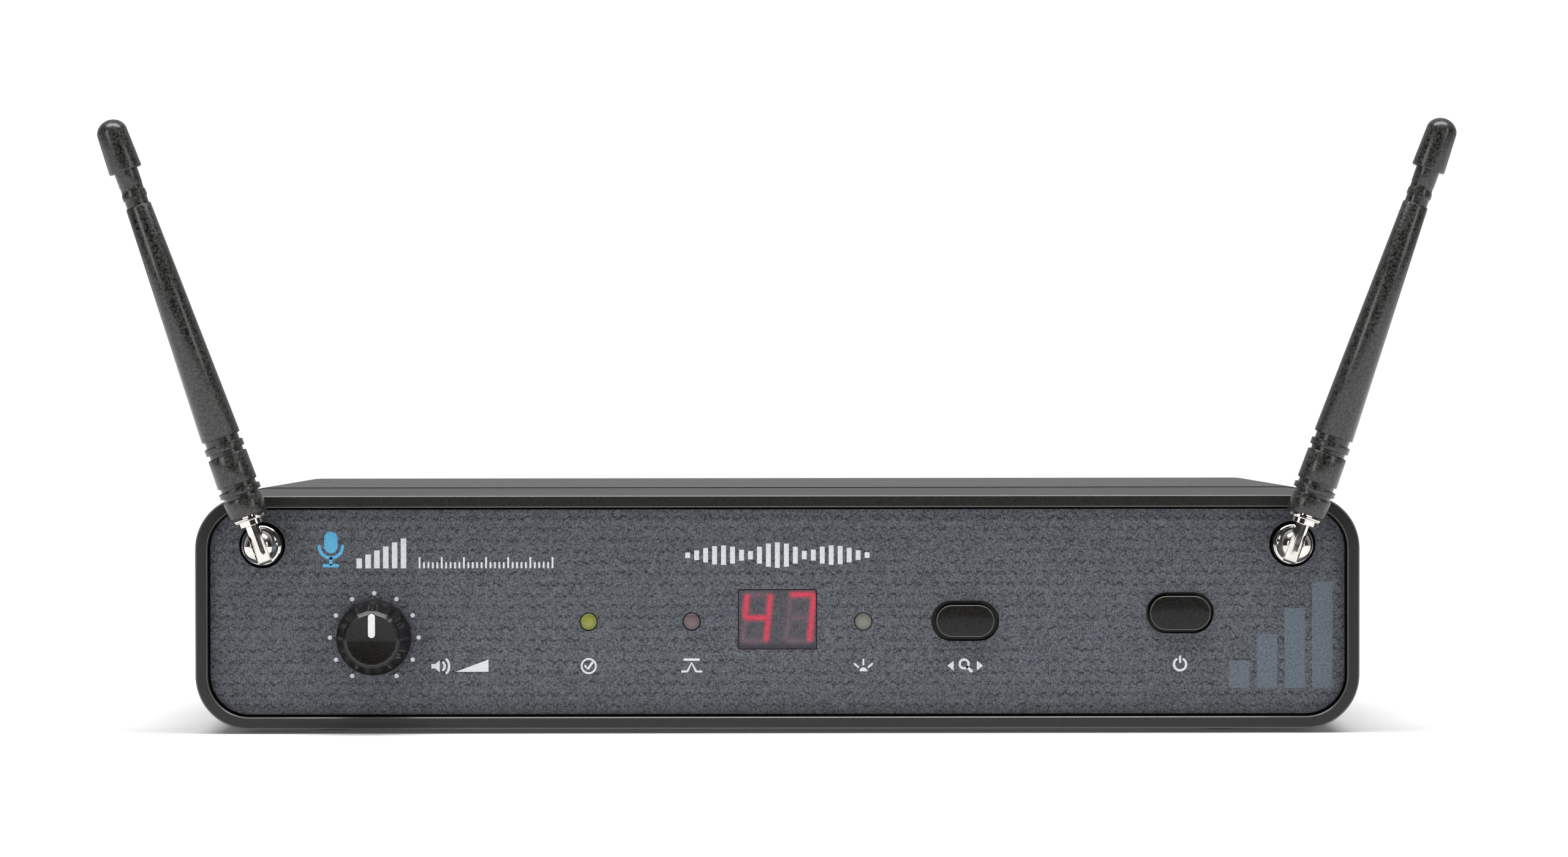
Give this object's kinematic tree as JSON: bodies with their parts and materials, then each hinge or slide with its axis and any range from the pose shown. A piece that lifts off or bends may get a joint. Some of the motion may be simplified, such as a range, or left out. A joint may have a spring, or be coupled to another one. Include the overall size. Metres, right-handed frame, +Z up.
{
  "type": "wireless receiver unit",
  "caption": "Half-rack wireless microphone receiver with a volume knob, push buttons, a two-digit display and two folding whip antennas on swivelling knuckles.",
  "frame": {"origin": "middle of the whole object's box, on the surface its feet stand on", "axes": "+X to the right seen from the front, +Y from the front panel to the sockets, +Z up"},
  "size_m": [0.2438, 0.136, 0.1105],
  "materials": {
    "case_black": "fine-textured satin black",
    "panel_print": "blue-grey overlay with a fine woven print",
    "black_plastic": "satin",
    "antenna_black": "satin, fine grained",
    "white_plastic": "satin",
    "foot_rubber": "matt",
    "nickel": "polished nickel plate",
    "screw_steel": "black oxide",
    "circuit_board": "solder resist",
    "display_red": "smoked red filter",
    "ready_yellow": "diffused lens",
    "peak_red": "diffused lens, unlit",
    "infrared_grey": "clouded window",
    "lead_jacket": "satin jacket",
    "ribbon_grey": "flat cable"
  },
  "bodies": {
    "receiver": {"antenna_bush_left": "black_plastic", "antenna_bush_right": "black_plastic", "antenna_lead_left": "lead_jacket", "antenna_lead_right": "lead_jacket", "antenna_nut_left": "nickel", "antenna_nut_right": "nickel", "board_screw_front_left": "screw_steel", "board_screw_front_right": "screw_steel", "board_screw_rear_left": "screw_steel", "board_screw_rear_right": "screw_steel", "case_screw_left": "screw_steel", "case_screw_right": "screw_steel", "display_module": "black_plastic", "display_window": "display_red", "face_panel": "panel_print", "foot_front_left": "foot_rubber", "foot_front_right": "foot_rubber", "foot_rear_left": "foot_rubber", "foot_rear_right": "foot_rubber", "front_board": "circuit_board", "front_housing": "case_black", "front_ribbon": "ribbon_grey", "infrared_window": "infrared_grey", "inlet_pin": "nickel", "jack_nut": "nickel", "jack_socket": "black_plastic", "main_board": "circuit_board", "peak_lamp": "peak_red", "pot_nut": "nickel", "power_inlet": "black_plastic", "power_switch": "black_plastic", "radio_shield": "nickel", "ready_lamp": "ready_yellow", "rear_housing": "case_black", "scan_switch": "black_plastic", "volume_pot": "nickel", "xlr_insert": "black_plastic", "xlr_pin_1": "nickel", "xlr_pin_2": "nickel", "xlr_pin_3": "nickel", "xlr_screw_1": "screw_steel", "xlr_screw_2": "screw_steel", "xlr_shell": "case_black"},
    "volume_knob": {"volume_knob": "black_plastic", "knob_pointer": "white_plastic", "pot_shaft": "nickel"},
    "scan_button": {"scan_button": "black_plastic"},
    "power_button": {"power_button": "black_plastic"},
    "left_knuckle": {"antenna_knuckle_left": "nickel", "antenna_pin_left": "nickel"},
    "left_antenna": {"antenna_hinge_left": "nickel", "antenna_whip_left": "antenna_black"},
    "right_knuckle": {"antenna_knuckle_right": "nickel", "antenna_pin_right": "nickel"},
    "right_antenna": {"antenna_hinge_right": "nickel", "antenna_whip_right": "antenna_black"}
  },
  "joints": [
    {"name": "volume_turn", "type": "hinge", "parent": "receiver", "child": "volume_knob", "pos_m": [-0.0728, -0.058, 0.0173], "axis": [0, 1, 0], "range_deg": [-150, 150]},
    {"name": "scan_press", "type": "slide", "parent": "receiver", "child": "scan_button", "axis": [0, 1, 0], "range_m": [0, 0.0008], "stiffness_N_per_m": 1000, "springref_m": -0.0005},
    {"name": "power_press", "type": "slide", "parent": "receiver", "child": "power_button", "axis": [0, 1, 0], "range_m": [0, 0.002], "stiffness_N_per_m": 600, "springref_m": -0.001},
    {"name": "left_swivel", "type": "hinge", "parent": "receiver", "child": "left_knuckle", "pos_m": [-0.093, -0.0643, 0.034], "axis": [0, -1, 0], "range_deg": [-109.5, 70.5]},
    {"name": "left_fold", "type": "hinge", "parent": "left_knuckle", "child": "left_antenna", "pos_m": [-0.093, -0.0643, 0.034], "axis": [0.9426, 0, 0.3338], "range_deg": [0, 90]},
    {"name": "right_swivel", "type": "hinge", "parent": "receiver", "child": "right_knuckle", "pos_m": [0.093, -0.0643, 0.034], "axis": [0, 1, 0], "range_deg": [-109.5, 70.5]},
    {"name": "right_fold", "type": "hinge", "parent": "right_knuckle", "child": "right_antenna", "pos_m": [0.093, -0.0643, 0.034], "axis": [0.9426, 0, -0.3338], "range_deg": [0, 90]}
  ]
}
